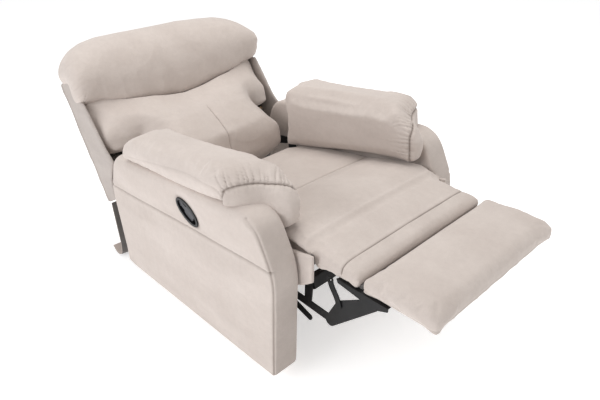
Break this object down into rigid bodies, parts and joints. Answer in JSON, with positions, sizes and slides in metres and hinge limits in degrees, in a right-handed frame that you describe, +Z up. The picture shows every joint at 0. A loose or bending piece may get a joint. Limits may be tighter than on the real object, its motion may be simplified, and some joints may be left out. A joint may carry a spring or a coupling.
{
  "type": "recliner armchair",
  "caption": "Padded recliner armchair with pillow arms, two-part pillow back and fold-out footrest, held open on a steel link mechanism.",
  "frame": {"origin": "on the floor under the middle of the reclined chair", "axes": "+Z up, the sitter faces -Y, +X is the sitter's left"},
  "size_m": [0.901, 1.7105, 0.8442],
  "materials": {
    "upholstery": "brushed microfibre suede, matt",
    "frame_wood": "raw plywood and pine",
    "black_plastic": "fine-grained black plastic",
    "black_steel": "satin black powder coat",
    "bright_steel": "zinc plated",
    "webbing": "woven elastic strap"
  },
  "bodies": {
    "base": {"arm_frame_left": "frame_wood", "arm_frame_right": "frame_wood", "arm_cover_left": "upholstery", "arm_cover_right": "upholstery", "arm_pad_left": "upholstery", "arm_pad_right": "upholstery", "base_rail_left": "black_steel", "base_rail_right": "black_steel", "base_cross_tube_front": "black_steel", "base_cross_tube_rear": "black_steel", "floor_feet": "black_plastic", "arm_bolts": "bright_steel", "handle_bezel": "black_plastic", "handle_pin": "bright_steel"},
    "release_handle": {"handle_paddle": "black_plastic"},
    "seat": {"seat_side_plate_left": "black_steel", "seat_side_plate_right": "black_steel", "glide_blocks": "black_plastic", "seat_side_rail_left": "upholstery", "seat_side_rail_right": "upholstery", "seat_front_rail": "frame_wood", "seat_rear_rail": "frame_wood", "seat_springs": "bright_steel", "seat_bolts": "bright_steel", "seat_pivot_pins": "black_steel", "seat_cushion": "upholstery"},
    "footrest": {"chaise_board": "frame_wood", "chaise_pad": "upholstery", "footrest_board": "frame_wood", "footrest_pad": "upholstery", "footrest_bracket_left": "black_steel", "footrest_bracket_right": "black_steel", "footrest_pins": "black_steel"},
    "lower_links": {"lower_link_left": "black_steel", "lower_link_right": "black_steel", "knee_pins": "black_steel", "link_cross_tube": "black_steel"},
    "front_links": {"front_link_left": "black_steel", "front_link_right": "black_steel", "chaise_stay_left": "black_steel", "chaise_stay_right": "black_steel", "stay_rivets": "black_steel"},
    "drive_links": {"drive_link_left": "black_steel", "drive_link_right": "black_steel"},
    "back": {"back_post_left": "frame_wood", "back_post_right": "frame_wood", "back_lower_rail": "frame_wood", "back_top_rail": "frame_wood", "back_webbing": "webbing", "back_shell": "upholstery", "back_bracket_left": "black_steel", "back_bracket_right": "black_steel", "lumbar_cushion": "upholstery", "headrest_pillow": "upholstery"},
    "rear_flap": {"rear_flap": "upholstery"}
  },
  "joints": [
    {"name": "handle_pull", "type": "hinge", "parent": "base", "child": "release_handle", "pos_m": [-0.4385, 0.02375, 0.49671], "axis": [0, 0.454, -0.891], "range_deg": [0, 28], "stiffness_Nm_per_rad": 0.6},
    {"name": "seat_glide", "type": "slide", "parent": "base", "child": "seat", "axis": [0, 1, 0], "range_m": [0, 0.0405]},
    {"name": "back_recline", "type": "hinge", "parent": "seat", "child": "back", "pos_m": [0, 0.308, 0.365], "axis": [1, 0, 0], "range_deg": [0, 22]},
    {"name": "flap_hang", "type": "hinge", "parent": "back", "child": "rear_flap", "pos_m": [0, 0.569, 0.261], "axis": [1, 0, 0], "range_deg": [-22.1, 0]},
    {"name": "footrest_fold", "type": "hinge", "parent": "seat", "child": "footrest", "pos_m": [0, -0.425, 0.475], "axis": [1, 0, 0], "range_deg": [0, 90]},
    {"name": "lower_link_swing", "type": "hinge", "parent": "seat", "child": "lower_links", "pos_m": [0, -0.3, 0.268], "axis": [1, 0, 0], "range_deg": [0, 106.99]},
    {"name": "front_link_swing", "type": "hinge", "parent": "footrest", "child": "front_links", "pos_m": [0, -0.65, 0.405], "axis": [1, 0, 0], "range_deg": [-99.94, 0]},
    {"name": "drive_link_swing", "type": "hinge", "parent": "seat", "child": "drive_links", "pos_m": [0, -0.26, 0.25], "axis": [1, 0, 0], "range_deg": [0, 106.99]}
  ],
  "couplings": [
    {"joint": "seat_glide", "follows": "back_recline", "m_per_rad": 0.10417},
    {"joint": "flap_hang", "follows": "back_recline", "ratio": -1},
    {"joint": "lower_link_swing", "follows": "footrest_fold", "ratio": 1.1877},
    {"joint": "front_link_swing", "follows": "footrest_fold", "ratio": -1.1093},
    {"joint": "drive_link_swing", "follows": "footrest_fold", "ratio": 1.1877}
  ]
}
